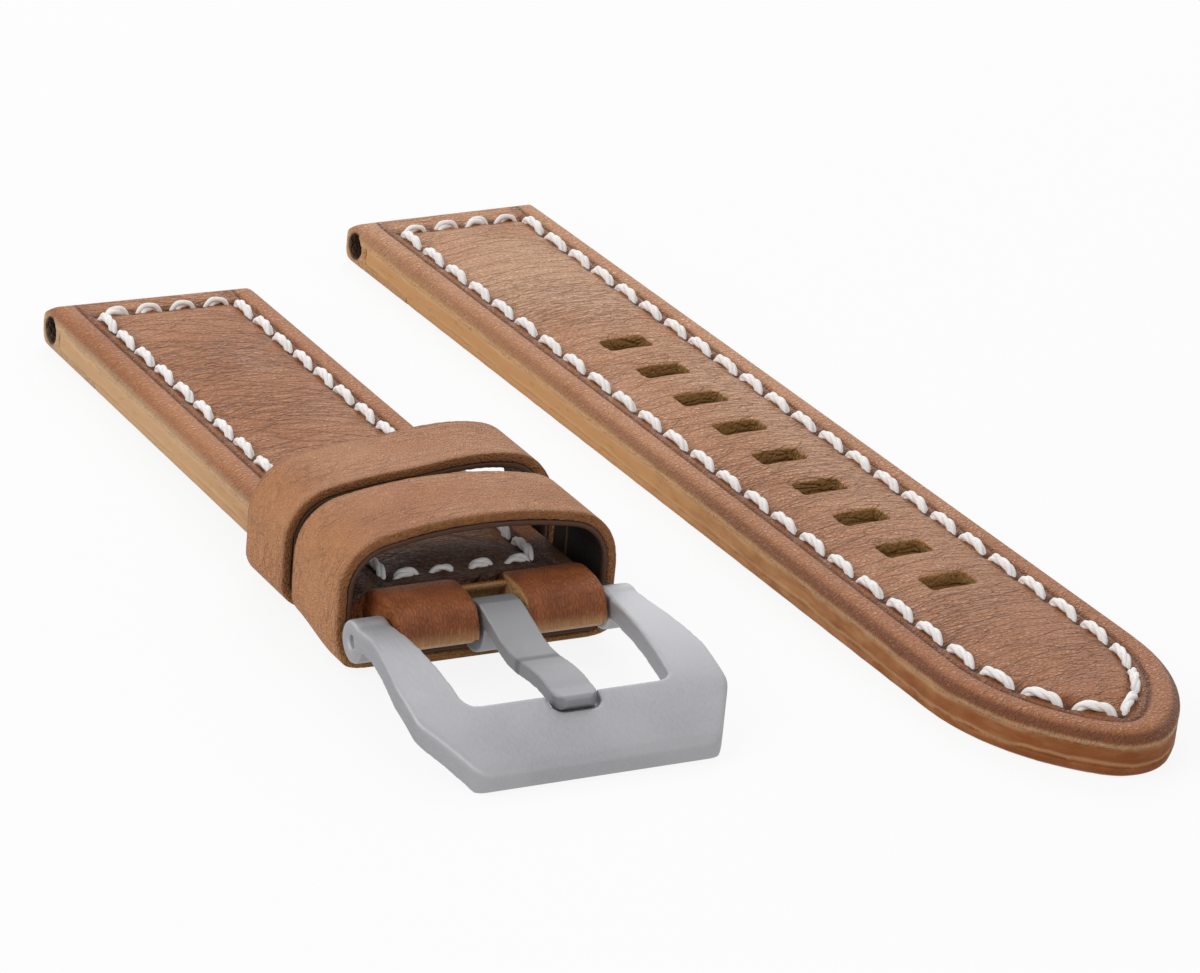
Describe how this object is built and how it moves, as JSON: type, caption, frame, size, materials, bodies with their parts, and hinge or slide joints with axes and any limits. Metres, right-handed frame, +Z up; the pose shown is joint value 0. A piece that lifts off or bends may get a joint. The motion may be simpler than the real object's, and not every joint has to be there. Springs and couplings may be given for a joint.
{
  "type": "leather watch strap",
  "caption": "Two-piece padded leather watch strap with pin buckle, tongue and two keeper loops, laid flat.",
  "frame": {"origin": "middle of the footprint of both halves as laid out, on the table", "axes": "+Y along the short half towards its lug end, +X towards the long half, +Z up"},
  "size_m": [0.0692, 0.1242, 0.013],
  "materials": {
    "top_leather": "semi-matt grained calf leather",
    "keeper_leather": "smooth semi-matt leather",
    "fold_leather": "soft suede-faced leather",
    "strap_lining": "matt lining leather",
    "keeper_lining": "matt black lining leather",
    "padding": "matt felted filler",
    "thread": "waxed twisted thread",
    "satin_steel": "satin brushed",
    "spring_steel": "drawn wire"
  },
  "bodies": {
    "short_half": {"short_top_leather": "top_leather", "short_padding": "padding", "short_lining": "strap_lining", "short_stitching": "thread", "buckle_fold": "fold_leather", "fold_stitching": "thread", "fixed_keeper": "keeper_leather", "fixed_keeper_lining": "keeper_lining"},
    "sliding_keeper": {"sliding_keeper": "keeper_leather", "sliding_keeper_lining": "keeper_lining"},
    "buckle": {"buckle_frame": "satin_steel", "bar_tube": "satin_steel", "bar_tip_left": "satin_steel", "bar_tip_right": "satin_steel", "bar_spring": "spring_steel"},
    "tongue": {"tongue": "satin_steel"},
    "long_half": {"long_top_leather": "top_leather", "long_padding": "padding", "long_lining": "strap_lining", "long_stitching": "thread"}
  },
  "joints": [
    {"name": "buckle_swing", "type": "hinge", "parent": "short_half", "child": "buckle", "pos_m": [-0.02012, -0.028, 0.00434], "axis": [-1, 0, 0], "range_deg": [-70, 30]},
    {"name": "tongue_swing", "type": "hinge", "parent": "buckle", "child": "tongue", "pos_m": [-0.02012, -0.028, 0.00434], "axis": [-1, 0, 0], "range_deg": [0, 55]},
    {"name": "sliding_keeper_travel", "type": "slide", "parent": "short_half", "child": "sliding_keeper", "axis": [0, 0.9994, -0.0334], "range_m": [-0.0015, 0.05]},
    {"name": "long_half_lift", "type": "slide", "parent": "short_half", "child": "long_half", "axis": [0, 0, 1], "range_m": [0, 0.05]}
  ]
}
